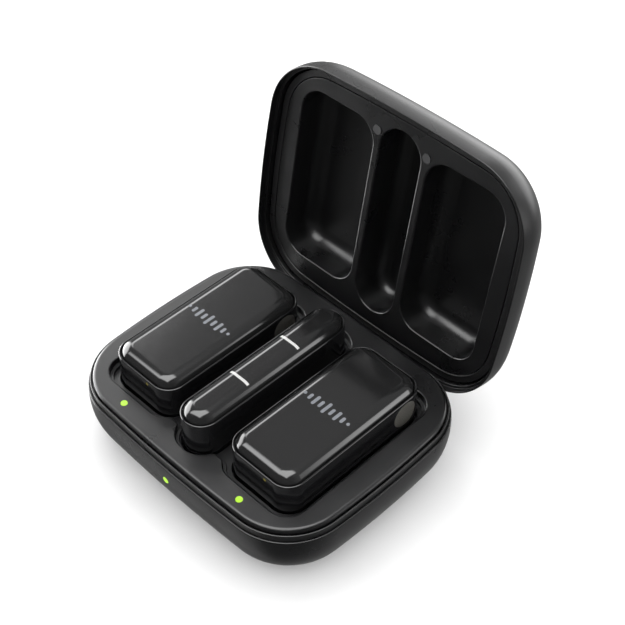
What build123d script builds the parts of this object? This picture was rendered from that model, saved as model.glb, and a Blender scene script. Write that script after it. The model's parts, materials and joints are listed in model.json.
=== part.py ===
from build123d import *
import math
import os

# Charging case with two clip-on wireless transmitters and a plug-in receiver.
# Millimetres, +Z up.  X runs along the hinge, +Y points to the hinge, z = 0 is the table.
# The lid is modelled open.  Everything that belongs to the lid is built closed, then swung open.

# ---- case outline ------------------------------------------------------------------------
HALF_W = 40.0            # deck groove, half width
HALF_D = 32.4            # deck groove, half depth
BOW_W = 1.9              # how far the left and right sides bulge over their length
BOW_D = 1.6              # how far the front and back bulge
CORNER_R = 16.0
SKIN = 1.3               # the shell stands this far outside the groove line
WALL = 1.4
LID_WALL = 1.2

# ---- heights -----------------------------------------------------------------------------
SHELL_TOP = 16.8         # upper edge of the lower shell
WIDEST = 14.4            # height where the lower shell is widest
LIP_TOP = 18.6           # top of the stepped lip
LIP_FOOT = 15.35
LIP_FLANGE_TOP = 16.95
DECK_TOP = 19.7
DECK_UNDER = 17.05
LEDGE = 17.9             # step inside the deck opening
WELL_FLOOR = 17.0        # floor shared by the three bays
SOCKET_FLOOR = 14.55     # what each unit stands on
RELIEF_FLOOR = 6.2       # room below a transmitter for its clip
LID_RIM = 16.95
LID_STEP = 18.85
LINER_FACE = 19.9
LINER_BACK = 21.3
LID_WIDEST = 20.1
LID_TOP = 36.35
POCKET_TOP = 29.7        # floor of a transmitter pocket in the closed lid
RX_POCKET_TOP = 30.3
LID_INSET_TOP = 19.9     # how far the pillow-shaped lid draws in at its top
BASE_INSET = 10.1        # how far the shell draws in at its foot
LID_SHAPE = 1.08         # 1 is an ellipse, more is flatter towards the rim
BASE_SHAPE = 0.92

# ---- hinge -------------------------------------------------------------------------------
HINGE_Y = 31.5
HINGE_Z = 15.5
OPEN_ANGLE = 100.0
PIN_R = 0.75
PIN_BORE_R = 0.80
KNUCKLE_R = 2.2
KNUCKLE_HALF = 16.4
NOTCH_HALF = 16.7
NOTCH_R = 2.55
EAR_R = 1.9
EAR_START = 17.0
EAR_END = 22.6
EAR_FRONT_Y = 28.8
EAR_FOOT_Z = 8.0
PIN_HALF = 21.9
BACK_CUT_Y = 32.0        # the back of the base is cut off here so that the lid can swing
BACK_CUT_Z = 12.4

# ---- transmitters and receiver -----------------------------------------------------------
TX_X = 20.55
TX_Y = -0.3
TX_HW = 10.8
TX_HL = 23.1
TX_R = 5.1
TX_BOTTOM = 14.6
TX_RIM = 26.2
TX_TOP = 28.2
TX_CROWN_R = 3.0
UNIT_Y = -0.6            # middle of the receiver, of the bays and of the lid's pockets
RX_HW = 5.2
RX_HL = 25.6
TX_COVER_FOOT = 24.95
RX_RIM = 27.5
RX_TOP = 29.7
RX_COVER_FOOT = 26.1
RX_BOARD_Z = 22.4
RX_CROWN_R = 3.0         # the receiver's cover is round but for a narrow flat
COVER_GAP = 0.3
RIM_LIP = 0.4
BODY_WALL = 1.0
CLIP_PIVOT_Y = 8.0       # from the middle of the transmitter
CLIP_PIVOT_Z = 12.6
CLIP_TIP_Y = -19.0
CLIP_TAIL_Y = 17.6
CLIP_HW = 7.0
CLIP_TOP = 12.55
CLIP_BOTTOM = 11.3
CLIP_PIN_R = 0.6
CLIP_EAR_X = 4.6
CLIP_BARREL_R = 1.2
CONTACT_Y = 20.3         # charging contacts, from the middle of the transmitter
MAGNET_X = 9.0
MAGNET_Y = -28.3
DISC_Y = 15.85           # round port cover on the side wall, from the middle of the transmitter
DISC_Z = 21.8
DISC_R = 3.7

# ---- bays in the deck, half sizes --------------------------------------------------------
BAY_X = 20.85
BAY_HW = 12.45
BAY_HL = 25.2
BAY_R = 5.6
RX_BAY_HW = 6.8
RX_BAY_HL = 27.2
BRIDGE_HL = 22.9         # where the three bays run into one another
BRIDGE_R = 1.0
LEDGE_W = 0.9
SEAT_GAP = 0.4           # round each unit in its socket
SEAT_WALL = 1.2          # under and round the sockets
WELL_HW = 33.8
WELL_HL = 26.6
RELIEF_HW = 8.6          # room under the clip
RELIEF_HL = 19.9
RELIEF_Y = -1.2
RELIEF_WALL = 0.6

# ---- pockets in the lid, half sizes ------------------------------------------------------
POCKET_HW = 12.0
POCKET_HL = 24.4
POCKET_R = 6.4
POCKET_DOME_R = 4.0
RX_POCKET_HW = 6.4
RX_POCKET_HL = 26.6
RX_POCKET_DOME_R = 3.5
CUP_WALL = 0.8
BUMPER_X = 7.9
BUMPER_Y = -24.0
BUMPER_R = 1.25

# ---- lights, magnets and pins ------------------------------------------------------------
DECK_LED_Y = -28.6
DECK_LED_R = 0.85
FRONT_LED_Z = 12.65
FRONT_LED_R = 0.9
STATUS_LED_X = 3.1       # from the middle of the transmitter
STATUS_LED_Z = 24.9
STATUS_LED_R = 0.42
STATUS_LED_LENGTH = 0.55
BAR_Y = 8.35             # light bars, from the middle of the receiver
BAR_HW = 3.05
BAR_WIDTH = 0.8
BAR_FLOOR = 28.6
FIT = 0.05               # play round lenses, magnets and bumpers
MAGNET_R = 1.5
CASE_MAGNET_TOP = 18.5
LID_MAGNET_FACE = 20.55
CHARGE_PIN_X = 2.0       # either side of the transmitter's middle
CHARGE_PIN_R = 0.45
CONTACT_R = 0.7
SCREW_PLACES = [(-8.2, -24.5), (-8.2, 23.0), (8.2, -24.5), (8.2, 23.0)]
BOARD_BOTTOM = 5.0
BOARD_TOP = 6.0

# ---- plug and sockets --------------------------------------------------------------------
PLUG_W = 8.34
PLUG_T = 2.56
PLUG_LENGTH = 6.5
PLUG_SHEET = 0.3
PORT_Z = 7.76
PORT_W = 9.2             # socket shell, outside
PORT_H = 3.46
PORT_SHEET = 0.28
PORT_MOUTH_Y = 31.9
DOCK_BOTTOM = 6.05
DOCK_TOP = 13.25
TONGUE_T = 0.7


def save(name, shape):
    """One STEP file for one named piece."""
    shape.label = name
    export_step(shape, f"parts/{name}.step")


def block(x0, x1, y0, y1, z0, z1):
    """A box between two corners."""
    box = Box(x1 - x0, y1 - y0, z1 - z0)
    return Pos((x0 + x1) / 2, (y0 + y1) / 2, (z0 + z1) / 2) * box


def rod_x(x0, x1, y, z, radius):
    """A round bar along X."""
    bar = Cylinder(radius, x1 - x0)
    return Pos((x0 + x1) / 2, y, z) * Rot(0, 90, 0) * bar


def rod_z(x, y, z0, z1, radius):
    """A round bar along Z."""
    return Pos(x, y, (z0 + z1) / 2) * Cylinder(radius, z1 - z0)


def arc_point(centre, radius, angle):
    return (centre[0] + radius * math.cos(angle), centre[1] + radius * math.sin(angle))


def soft_outline(offset, corner):
    """A rounded rectangle with bowed sides, as eight tangent arcs, grown by offset."""
    half_w = HALF_W + offset
    half_d = HALF_D + offset
    side_r = (HALF_D**2 + BOW_W**2) / (2 * BOW_W) + offset
    end_r = (HALF_W**2 + BOW_D**2) / (2 * BOW_D) + offset
    side_c = (half_w - side_r, 0.0)
    end_c = (0.0, half_d - end_r)
    reach_a = side_r - corner
    reach_b = end_r - corner
    apart = math.hypot(side_c[0], end_c[1])
    along = (reach_a**2 - reach_b**2 + apart**2) / (2 * apart)
    across = math.sqrt(reach_a**2 - along**2)
    ux = -side_c[0] / apart
    uy = end_c[1] / apart
    corner_c = (side_c[0] + along * ux - across * uy, along * uy + across * ux)
    start = math.atan2(corner_c[1], corner_c[0] - side_c[0])
    stop = math.atan2(corner_c[1] - end_c[1], corner_c[0])
    middle = (start + stop) / 2
    points = [
        arc_point(side_c, side_r, start),
        arc_point(corner_c, corner, middle),
        arc_point(corner_c, corner, stop),
    ]
    p, q, r = points
    edges = [
        ThreePointArc((p[0], -p[1]), (half_w, 0), p),
        ThreePointArc(p, q, r),
        ThreePointArc(r, (0, half_d), (-r[0], r[1])),
        ThreePointArc((-r[0], r[1]), (-q[0], q[1]), (-p[0], p[1])),
        ThreePointArc((-p[0], p[1]), (-half_w, 0), (-p[0], -p[1])),
        ThreePointArc((-p[0], -p[1]), (-q[0], -q[1]), (-r[0], -r[1])),
        ThreePointArc((-r[0], -r[1]), (0, -half_d), (r[0], -r[1])),
        ThreePointArc((r[0], -r[1]), (q[0], -q[1]), (p[0], -p[1])),
    ]
    return Face(Wire(edges))


def slab(offset, z0, z1):
    """The case outline, grown by offset, between two heights."""
    return extrude(Pos(0, 0, z0) * soft_outline(offset, CORNER_R + offset), z1 - z0)


def section(offset, z, inset):
    """One level of a pebble-shaped shell: the corners get smaller with the outline."""
    corner = (CORNER_R + SKIN) * (HALF_D + offset) / (HALF_D + SKIN) - inset
    return Pos(0, 0, z) * soft_outline(offset - inset, corner)


def pebble(levels, inset):
    return loft([section(offset, z, inset) for offset, z in levels])


def base_levels(inset):
    """Offsets and heights from the shell's top edge down to its foot."""
    levels = [(SKIN - 0.1, SHELL_TOP), (SKIN - 0.02, (SHELL_TOP + WIDEST) / 2)]
    depth = WIDEST - inset
    for step in range(0, 91, 15):
        t = math.radians(step)
        draw_in = 1 - math.cos(t) ** BASE_SHAPE if step < 90 else 1
        levels.append((SKIN - BASE_INSET * draw_in, WIDEST - depth * math.sin(t) ** BASE_SHAPE))
    return levels


def lid_levels(inset):
    """Offsets and heights from the rim of the closed lid up to its crown."""
    levels = [(SKIN - 0.1, LID_RIM), (SKIN - 0.02, (LID_RIM + LID_WIDEST) / 2)]
    height = LID_TOP - LID_WIDEST - inset
    for step in range(0, 91, 15):
        t = math.radians(step)
        draw_in = 1 - math.cos(t) ** LID_SHAPE if step < 90 else 1
        levels.append((SKIN - LID_INSET_TOP * draw_in, LID_WIDEST + height * math.sin(t) ** LID_SHAPE))
    return levels


def round_box(x, y, half_w, half_l, radius, z0, z1):
    """A block with rounded corners, centred on x, y."""
    face = Pos(x, y, z0) * RectangleRounded(2 * half_w, 2 * half_l, radius)
    return extrude(face, z1 - z0)


def stadium(x, y, half_w, half_l, z0, z1):
    """A block with round ends, its length along Y."""
    face = Pos(x, y, z0) * SlotOverall(2 * half_l, 2 * half_w, rotation=90)
    return extrude(face, z1 - z0)


def swing_open(shape):
    """Turn a closed lid piece about the hinge to the open position."""
    turn = Rot(-OPEN_ANGLE, 0, 0)
    return Pos(0, HINGE_Y, HINGE_Z) * turn * Pos(0, -HINGE_Y, -HINGE_Z) * shape


def lid_swing_room():
    """What the open lid's back edge and barrel need, cut out of the base."""
    room = block(-60, 60, BACK_CUT_Y, 50, BACK_CUT_Z, 30)
    room += rod_x(-NOTCH_HALF, NOTCH_HALF, HINGE_Y, HINGE_Z, NOTCH_R)
    room += block(-NOTCH_HALF, NOTCH_HALF, 30.7, 50, BACK_CUT_Z, HINGE_Z)
    return room


# ---- case --------------------------------------------------------------------------------
def case_bottom_shell():
    shell = pebble(base_levels(0), 0)
    shell -= pebble(base_levels(WALL), WALL) - block(-60, 60, -60, 60, -1, WALL)
    shell -= slab(0.65, LIP_FOOT - 0.05, SHELL_TOP + 1)
    shell -= lid_swing_room()
    for side in (-1, 1):
        low = min(side * EAR_START, side * EAR_END)
        high = max(side * EAR_START, side * EAR_END)
        ear = rod_x(low, high, HINGE_Y, HINGE_Z, EAR_R)
        ear += block(low, high, EAR_FRONT_Y, HINGE_Y, EAR_FOOT_Z, HINGE_Z)
        ear += block(low, high, EAR_FRONT_Y, BACK_CUT_Y, EAR_FOOT_Z, BACK_CUT_Z - 0.1)
        shell += ear
    shell -= rod_x(-PIN_HALF - 0.1, PIN_HALF + 0.1, HINGE_Y, HINGE_Z, PIN_R)
    port = Pos(0, 30, PORT_Z) * Rot(90, 0, 0) * SlotOverall(PORT_W + 0.4, PORT_H + 0.44)
    shell -= extrude(port, 6, both=True)
    shell -= Pos(0, -HALF_D, FRONT_LED_Z) * Rot(90, 0, 0) * Cylinder(FRONT_LED_R + FIT, 8)
    for x, y in SCREW_PLACES:
        shell += rod_z(x, y, WALL - 0.2, BOARD_BOTTOM - FIT, 1.6)
        shell -= rod_z(x, y, 2.4, BOARD_TOP, 0.55)
    return shell


def case_lip_ring():
    ring = slab(0.6, LIP_FOOT, LIP_TOP) - slab(0.15, LIP_FOOT - 1, LIP_TOP + 1)
    ring += slab(0.6, LIP_FOOT, LIP_FLANGE_TOP) - slab(-1.4, LIP_FOOT - 1, LIP_FLANGE_TOP + 1)
    ear_room = block(-EAR_END - 0.4, EAR_END + 0.4, 27, 40, BACK_CUT_Z, LIP_FLANGE_TOP + FIT)
    return ring - lid_swing_room() - ear_room


def deck_opening(inset, z0, z1):
    """The three bays merged into one scalloped opening."""
    half_w = BAY_HW - inset
    half_l = BAY_HL - inset
    bays = RectangleRounded(2 * half_w, 2 * half_l, BAY_R - inset)
    cutter = Pos(-BAY_X, 0) * bays + Pos(BAY_X, 0) * bays
    cutter += SlotOverall(2 * (RX_BAY_HL - inset), 2 * (RX_BAY_HW - inset), rotation=90)
    bridge_half = BRIDGE_HL - inset
    cutter += Rectangle(2 * BAY_X, 2 * bridge_half)
    noses = [v for v in cutter.vertices() if abs(abs(v.Y) - bridge_half) < 0.01 and abs(v.X) < 12]
    cutter = fillet(noses, BRIDGE_R)
    return extrude(Pos(0, UNIT_Y, z0) * cutter, z1 - z0)


def case_deck_tray():
    plate = slab(-0.15, DECK_UNDER, DECK_TOP)
    rim = plate.faces().sort_by(Axis.Z)[-1].edges()
    tray = fillet(rim, 1.0)
    tray += round_box(0, UNIT_Y, WELL_HW, WELL_HL, 6.0, SOCKET_FLOOR - SEAT_WALL, DECK_UNDER + 0.2)
    relief_x = RELIEF_HW + RELIEF_WALL
    relief_y = RELIEF_HL + RELIEF_WALL
    for side in (-1, 1):
        tray += round_box(side * TX_X, RELIEF_Y, relief_x, relief_y, 2.6, RELIEF_FLOOR - 1.0, SOCKET_FLOOR)
    tray -= lid_swing_room()
    tray -= deck_opening(0, LEDGE, DECK_TOP + 1)
    tray -= deck_opening(LEDGE_W, WELL_FLOOR, LEDGE)
    seat_w = TX_HW + SEAT_GAP
    seat_l = TX_HL + SEAT_GAP
    for side in (-1, 1):
        x = side * TX_X
        tray -= round_box(x, TX_Y, seat_w, seat_l, TX_R + SEAT_GAP, SOCKET_FLOOR, DECK_TOP)
        tray -= round_box(x, RELIEF_Y, RELIEF_HW, RELIEF_HL, 2.0, RELIEF_FLOOR, DECK_TOP)
        for pin_x in (-CHARGE_PIN_X, CHARGE_PIN_X):
            tray -= rod_z(x + pin_x, TX_Y + CONTACT_Y, 10, DECK_TOP, CHARGE_PIN_R + 0.15)
        tray -= rod_z(x, DECK_LED_Y, 15, 25, DECK_LED_R + FIT)
        tray -= rod_x(x - 6, x + 6, HINGE_Y, HINGE_Z, EAR_R + 0.15)
    tray -= stadium(0, UNIT_Y, RX_HW + SEAT_GAP, RX_HL + SEAT_GAP, SOCKET_FLOOR, DECK_TOP)
    plug_hole = Pos(0, UNIT_Y, 10) * SlotOverall(PLUG_W + 0.8, PLUG_T + 0.8, rotation=90)
    tray -= extrude(plug_hole, 10)
    for x in (-MAGNET_X, MAGNET_X):
        tray -= rod_z(x, MAGNET_Y, 15, CASE_MAGNET_TOP + 0.1, MAGNET_R + FIT)
    return tray


def case_battery():
    pouch = block(-28, 28, -21, 19, 1.6, 4.6)
    return fillet(pouch.edges().filter_by(Axis.Z), 2.0)


def case_circuit_board():
    board = block(-9.9, 10.2, -27, 28, BOARD_BOTTOM, BOARD_TOP)
    board += block(-10.2, -9.8, -27, -21.2, BOARD_BOTTOM, BOARD_TOP)
    board += block(-10.2, -9.8, 19.2, 28, BOARD_BOTTOM, BOARD_TOP)
    for x, y in SCREW_PLACES:
        board -= rod_z(x, y, BOARD_BOTTOM - 1, BOARD_TOP + 1, 0.85)
    return board


def case_board_screws():
    screws = []
    for x, y in SCREW_PLACES:
        screw = rod_z(x, y, 2.6, BOARD_TOP, 0.5)
        screw += rod_z(x, y, BOARD_TOP, BOARD_TOP + 0.8, 1.3)
        screws.append(screw - block(x - 0.2, x + 0.2, y - 1.0, y + 1.0, BOARD_TOP + 0.5, BOARD_TOP + 1))
    return Compound(screws)


def case_charge_port():
    mouth = Pos(0, PORT_MOUTH_Y, PORT_Z) * Rot(90, 0, 0)
    outer = mouth * SlotOverall(PORT_W, PORT_H)
    inner = mouth * SlotOverall(PORT_W - 2 * PORT_SHEET, PORT_H - 2 * PORT_SHEET)
    return extrude(outer, 7.2) - extrude(inner, 6.6)


def case_port_tongue():
    return block(-3.3, 3.3, 25.3, 30.6, PORT_Z - TONGUE_T / 2, PORT_Z + TONGUE_T / 2)


def receiver_dock_socket():
    outer = Pos(0, UNIT_Y, DOCK_BOTTOM) * SlotOverall(PLUG_W + 1.1, PLUG_T + 1.1, rotation=90)
    inner = Pos(0, UNIT_Y, DOCK_BOTTOM + 0.6) * SlotOverall(PLUG_W + 0.5, PLUG_T + 0.5, rotation=90)
    return extrude(outer, DOCK_TOP - DOCK_BOTTOM) - extrude(inner, 8)


def receiver_dock_tongue():
    return block(-TONGUE_T / 2, TONGUE_T / 2, UNIT_Y - 3.3, UNIT_Y + 3.3, DOCK_BOTTOM + 0.6, 12.0)


def charge_pins(side):
    pins = []
    for pin_x in (-CHARGE_PIN_X, CHARGE_PIN_X):
        x = side * TX_X + pin_x
        pins.append(rod_z(x, TX_Y + CONTACT_Y, 9.6, 14.52, CHARGE_PIN_R))
    return Compound(pins)


def charge_pin_block(side):
    x = side * TX_X
    y = TX_Y + CONTACT_Y
    return block(x - 4, x + 4, y - 0.7, y + 1.2, 8.2, 9.6)


def deck_led(side):
    return rod_z(side * TX_X, DECK_LED_Y, 17.3, DECK_TOP + 0.02, DECK_LED_R)


def front_led():
    return Pos(0, -32.82, FRONT_LED_Z) * Rot(90, 0, 0) * Cylinder(FRONT_LED_R, 1.7)


def case_magnets():
    return Compound([rod_z(x, MAGNET_Y, 17.1, CASE_MAGNET_TOP, MAGNET_R) for x in (-MAGNET_X, MAGNET_X)])


def hinge_pin():
    return rod_x(-PIN_HALF, PIN_HALF, HINGE_Y, HINGE_Z, PIN_R)


# ---- lid ---------------------------------------------------------------------------------
def lid_outer_shell():
    shell = pebble(lid_levels(0), 0)
    hollow = pebble(lid_levels(LID_WALL), LID_WALL) & block(-60, 60, -60, 60, LID_STEP, LID_TOP)
    shell -= hollow
    shell -= slab(0.75, LID_RIM - 1, LID_STEP)
    shell -= slab(SKIN - 0.1 - LID_WALL, LID_RIM - 1, LINER_FACE)
    shell -= block(-KNUCKLE_HALF - 0.1, KNUCKLE_HALF + 0.1, 32, 40, LID_RIM - 1, LID_STEP)
    return shell


def lid_inner_ring():
    return slab(-0.45, LINER_FACE + FIT, LINER_BACK + 0.1) - slab(-2.3, 19, 22)


def domed(solid, radius):
    """The solid with its upper edge rounded."""
    return fillet(solid.faces().sort_by(Axis.Z)[-1].edges(), radius)


def lid_liner():
    """The lid's inner face, open where its three pockets are."""
    plate = slab(-2.5, LINER_FACE, LINER_BACK)
    for side in (-1, 1):
        plate -= round_box(side * TX_X, UNIT_Y, POCKET_HW, POCKET_HL, POCKET_R, 19, 22)
        plate -= rod_z(side * BUMPER_X, BUMPER_Y, 19, LINER_FACE + 0.5, BUMPER_R + FIT)
        plate -= rod_z(side * MAGNET_X, MAGNET_Y, LID_MAGNET_FACE - FIT, 22, MAGNET_R + FIT)
    return plate - stadium(0, UNIT_Y, RX_POCKET_HW, RX_POCKET_HL, 19, 22)


def lid_transmitter_pocket(x):
    """A cup behind the liner that takes the upper half of a transmitter."""
    out_w = POCKET_HW + CUP_WALL
    out_l = POCKET_HL + CUP_WALL
    cup = round_box(x, UNIT_Y, out_w, out_l, POCKET_R + CUP_WALL, LINER_BACK, POCKET_TOP + CUP_WALL)
    room = round_box(x, UNIT_Y, POCKET_HW, POCKET_HL, POCKET_R, LINER_BACK - 1, POCKET_TOP)
    return domed(cup, POCKET_DOME_R + CUP_WALL) - domed(room, POCKET_DOME_R)


def lid_receiver_pocket():
    out_w = RX_POCKET_HW + CUP_WALL
    out_l = RX_POCKET_HL + CUP_WALL
    cup = stadium(0, UNIT_Y, out_w, out_l, LINER_BACK, RX_POCKET_TOP + CUP_WALL)
    room = stadium(0, UNIT_Y, RX_POCKET_HW, RX_POCKET_HL, LINER_BACK - 1, RX_POCKET_TOP)
    return domed(cup, RX_POCKET_DOME_R + CUP_WALL) - domed(room, RX_POCKET_DOME_R)


def lid_bumpers():
    bumpers = []
    for x in (-BUMPER_X, BUMPER_X):
        bumpers.append(rod_z(x, BUMPER_Y, LINER_FACE - 0.12, LINER_FACE + 0.5, BUMPER_R))
    return Compound(bumpers)


def lid_magnets():
    return Compound([rod_z(x, MAGNET_Y, LID_MAGNET_FACE, 22.0, MAGNET_R) for x in (-MAGNET_X, MAGNET_X)])


def lid_hinge_knuckle():
    knuckle = rod_x(-KNUCKLE_HALF, KNUCKLE_HALF, HINGE_Y, HINGE_Z, KNUCKLE_R)
    knuckle += block(-KNUCKLE_HALF, KNUCKLE_HALF, 32.3, 33.6, HINGE_Z, LID_STEP)
    return knuckle - rod_x(-30, 30, HINGE_Y, HINGE_Z, PIN_BORE_R)


# ---- transmitters ------------------------------------------------------------------------
def tx_body_shell(x):
    body = round_box(x, TX_Y, TX_HW, TX_HL, TX_R, TX_BOTTOM, TX_RIM)
    body = fillet(body.faces().sort_by(Axis.Z)[0].edges(), 1.2)
    body = chamfer(body.faces().sort_by(Axis.Z)[-1].edges(), 0.12)
    inner_hw = TX_HW - BODY_WALL
    inner_hl = TX_HL - BODY_WALL
    body -= round_box(x, TX_Y, inner_hw, inner_hl, TX_R - BODY_WALL, TX_BOTTOM + 1.0, 30)
    body -= round_box(x, TX_Y, TX_HW - RIM_LIP, TX_HL - RIM_LIP, TX_R - RIM_LIP, TX_COVER_FOOT - FIT, 30)
    body -= disc_cutter(x, DISC_R + 0.05) & outer_skin(x, 0.45)
    led_hole = Cylinder(STATUS_LED_R + 0.03, 4)
    body -= Pos(x + STATUS_LED_X, TX_Y - TX_HL, STATUS_LED_Z) * Rot(90, 0, 0) * led_hole
    for pin_x in (-CHARGE_PIN_X, CHARGE_PIN_X):
        body -= rod_z(x + pin_x, TX_Y + CONTACT_Y, 14, 14.9, CONTACT_R + FIT)
    for ear_side in (-1, 1):
        ear_x = x + ear_side * CLIP_EAR_X
        y = TX_Y + CLIP_PIVOT_Y
        ear = block(ear_x - 0.7, ear_x + 0.7, y - 1.5, y + 1.5, CLIP_PIVOT_Z, TX_BOTTOM + 0.3)
        ear += rod_x(ear_x - 0.7, ear_x + 0.7, y, CLIP_PIVOT_Z, CLIP_BARREL_R)
        body += ear - rod_x(ear_x - 1, ear_x + 1, y, CLIP_PIVOT_Z, CLIP_PIN_R)
    return body


def outer_skin(x, depth):
    """The outermost layer of a transmitter's side wall."""
    skin = round_box(x, TX_Y, TX_HW, TX_HL, TX_R, 15, TX_RIM - 0.5)
    core = round_box(x, TX_Y, TX_HW - depth, TX_HL - depth, TX_R - depth, 14, 28)
    return skin - core


def disc_cutter(x, radius):
    return rod_x(x + 4, x + 12, TX_Y + DISC_Y, DISC_Z, radius)


def tx_port_cover(x):
    return disc_cutter(x, DISC_R) & outer_skin(x, 0.4)


def tx_top_cover(x):
    inset = RIM_LIP + COVER_GAP
    half_w = TX_HW - inset
    half_l = TX_HL - inset
    radius = TX_R - inset
    cover = domed(round_box(x, TX_Y, half_w, half_l, radius, TX_COVER_FOOT, TX_TOP), TX_CROWN_R)
    core = round_box(x, TX_Y, half_w - 1.2, half_l - 1.2, radius - 1.2, 24, TX_TOP - 1.0)
    return cover - domed(core, 1.0)


def tx_cover_mark(x):
    """A plain sound-level graphic: nine upright bars."""
    heights = [0.9, 1.9, 3.1, 2.2, 3.7, 2.2, 3.1, 1.9, 0.9]
    pitch = 1.75
    bars = []
    for index, height in enumerate(heights):
        bar_x = x + (index - 4) * pitch
        bar = Pos(bar_x, TX_Y, TX_TOP) * RectangleRounded(0.85, height, 0.4)
        bars.append(extrude(bar, 0.03))
    return Compound(bars)


def tx_circuit_board(x):
    return round_box(x, TX_Y, 8.6, 20.6, 3.2, 22.6, 23.4)


def tx_battery(x):
    cell = block(x - 7.5, x + 7.5, TX_Y - 15, TX_Y + 9, 16.2, 21.4)
    return fillet(cell.edges().filter_by(Axis.Z), 1.5)


def tx_mic_capsule(x):
    can = rod_x(x + 6.3, x + 8.9, TX_Y + 14.5, 18.6, 2.0)
    return can - rod_x(x + 8.6, x + 10, TX_Y + 14.5, 18.6, 0.7)


def tx_status_led(x):
    y = TX_Y - TX_HL + FIT + STATUS_LED_LENGTH / 2
    place = Pos(x + STATUS_LED_X, y, STATUS_LED_Z)
    return place * Rot(90, 0, 0) * Cylinder(STATUS_LED_R, STATUS_LED_LENGTH)


def tx_charge_contacts(x):
    pads = []
    for pin_x in (-CHARGE_PIN_X, CHARGE_PIN_X):
        pads.append(rod_z(x + pin_x, TX_Y + CONTACT_Y, TX_BOTTOM + 0.02, 14.9, CONTACT_R))
    return Compound(pads)


def tx_clip(x):
    y0 = TX_Y + CLIP_TIP_Y
    y1 = TX_Y + CLIP_TAIL_Y
    plate = block(x - CLIP_HW, x + CLIP_HW, y0, y1, CLIP_BOTTOM, CLIP_TOP)
    plate = fillet(plate.edges().filter_by(Axis.Z), 2.5)
    plate += block(x - 5.0, x + 5.0, y0, y0 + 1.6, CLIP_BOTTOM, TX_BOTTOM - 0.15)
    y = TX_Y + CLIP_PIVOT_Y
    barrel_r = CLIP_BARREL_R
    plate += rod_x(x - 3.6, x + 3.6, y, CLIP_PIVOT_Z, barrel_r)
    plate += block(x - 3.6, x + 3.6, y - barrel_r, y + barrel_r, CLIP_BOTTOM, CLIP_PIVOT_Z)
    for ear_side in (-1, 1):
        ear_x = x + ear_side * CLIP_EAR_X
        plate -= block(ear_x - 0.95, ear_x + 0.95, y - 2.2, y + 2.2, CLIP_BOTTOM - 1, CLIP_TOP + 1)
    plate -= rod_x(x - 1.6, x + 1.6, y, CLIP_PIVOT_Z, barrel_r + 0.1)
    plate -= rod_x(x - 8, x + 8, y, CLIP_PIVOT_Z, CLIP_PIN_R + FIT)
    return plate


def tx_clip_pin(x):
    return rod_x(x - 5.2, x + 5.2, TX_Y + CLIP_PIVOT_Y, CLIP_PIVOT_Z, CLIP_PIN_R)


def tx_clip_spring(x):
    """Close-wound torsion spring round the clip pin, one ridge for each turn."""
    turns = 6
    wire = 0.36
    coil_r = 0.98
    y = TX_Y + CLIP_PIVOT_Y
    coil = rod_x(x - turns * wire / 2, x + turns * wire / 2, y, CLIP_PIVOT_Z, coil_r)
    for turn in range(turns):
        ring_x = x + (turn - (turns - 1) / 2) * wire
        coil += Pos(ring_x, y, CLIP_PIVOT_Z) * Rot(0, 90, 0) * Torus(coil_r, wire / 2 - 0.01)
    return coil - rod_x(x - 3, x + 3, y, CLIP_PIVOT_Z, CLIP_PIN_R + 0.1)


# ---- receiver ----------------------------------------------------------------------------
def receiver_body_shell():
    body = stadium(0, UNIT_Y, RX_HW, RX_HL, TX_BOTTOM, RX_RIM)
    body = fillet(body.faces().sort_by(Axis.Z)[0].edges(), 1.0)
    body = chamfer(body.faces().sort_by(Axis.Z)[-1].edges(), 0.12)
    body -= stadium(0, UNIT_Y, RX_HW - 0.9, RX_HL - 0.9, TX_BOTTOM + 1.0, 32)
    body -= stadium(0, UNIT_Y, RX_HW - RIM_LIP, RX_HL - RIM_LIP, RX_COVER_FOOT - 0.1, 32)
    slot = Pos(0, UNIT_Y, 12) * SlotOverall(PLUG_W, PLUG_T, rotation=90)
    return body - extrude(slot, 5)


def receiver_cover_solid():
    half_w = RX_HW - RIM_LIP - COVER_GAP
    half_l = RX_HL - RIM_LIP - COVER_GAP
    return domed(stadium(0, UNIT_Y, half_w, half_l, RX_COVER_FOOT, RX_TOP), RX_CROWN_R)


def bar_cutters(width):
    cutter = block(-BAR_HW, BAR_HW, -width / 2, width / 2, BAR_FLOOR, RX_TOP + 1)
    return [Pos(0, UNIT_Y + y, 0) * cutter for y in (-BAR_Y, BAR_Y)]


def receiver_top_cover():
    cover = receiver_cover_solid()
    for cutter in bar_cutters(BAR_WIDTH):
        cover -= cutter
    return cover - stadium(0, UNIT_Y, 3.3, 23.7, 25, 28.0)


def receiver_light_bars():
    solid = receiver_cover_solid()
    return Compound([solid & cutter for cutter in bar_cutters(BAR_WIDTH - 0.08)])


def receiver_circuit_board():
    return stadium(0, UNIT_Y, 3.9, 24.2, RX_BOARD_Z, RX_BOARD_Z + 0.8)


def receiver_plug_shell():
    outer = Pos(0, UNIT_Y, TX_BOTTOM - PLUG_LENGTH) * SlotOverall(PLUG_W, PLUG_T, rotation=90)
    inner_w = PLUG_W - 2 * PLUG_SHEET
    inner_t = PLUG_T - 2 * PLUG_SHEET
    inner = Pos(0, UNIT_Y, 7) * SlotOverall(inner_w, inner_t, rotation=90)
    return extrude(outer, PLUG_LENGTH + 3.0) - extrude(inner, 20)


def receiver_plug_insert():
    bottom = TX_BOTTOM - PLUG_LENGTH + 0.15
    inner_w = PLUG_W - 2 * PLUG_SHEET
    inner_t = PLUG_T - 2 * PLUG_SHEET
    body = Pos(0, UNIT_Y, bottom) * SlotOverall(inner_w, inner_t, rotation=90)
    insert = extrude(body, RX_BOARD_Z - bottom)
    return insert - block(-0.5, 0.5, UNIT_Y - 3.45, UNIT_Y + 3.45, 5, 13.0)


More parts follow.
